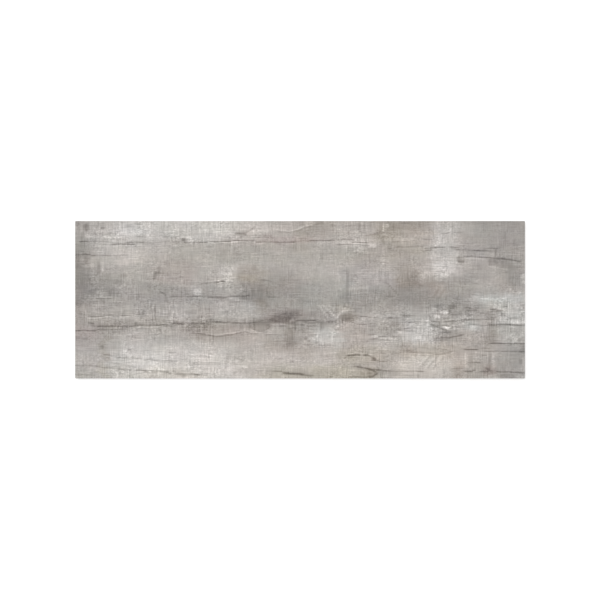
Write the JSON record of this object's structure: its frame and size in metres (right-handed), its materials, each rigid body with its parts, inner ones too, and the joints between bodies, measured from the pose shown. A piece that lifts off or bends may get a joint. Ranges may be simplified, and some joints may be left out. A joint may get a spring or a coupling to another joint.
{
  "type": "wood look porcelain plank tile",
  "caption": "Flat rectangular porcelain plank tile with a weathered grey wood-grain face, rounded arrises and a ribbed back that keys into adhesive.",
  "frame": {"origin": "middle of the bed plane, on which the tips of the back's ribs stand", "axes": "+X along the plank, +Y across it, +Z out of the printed face"},
  "size_m": [0.5, 0.175, 0.009],
  "materials": {
    "printed_porcelain": "matt glaze with a printed weathered wood grain in warm greys; bare fired body on the sides and back"
  },
  "bodies": {
    "root": {"plank_tile": "printed_porcelain"}
  },
  "joints": []
}
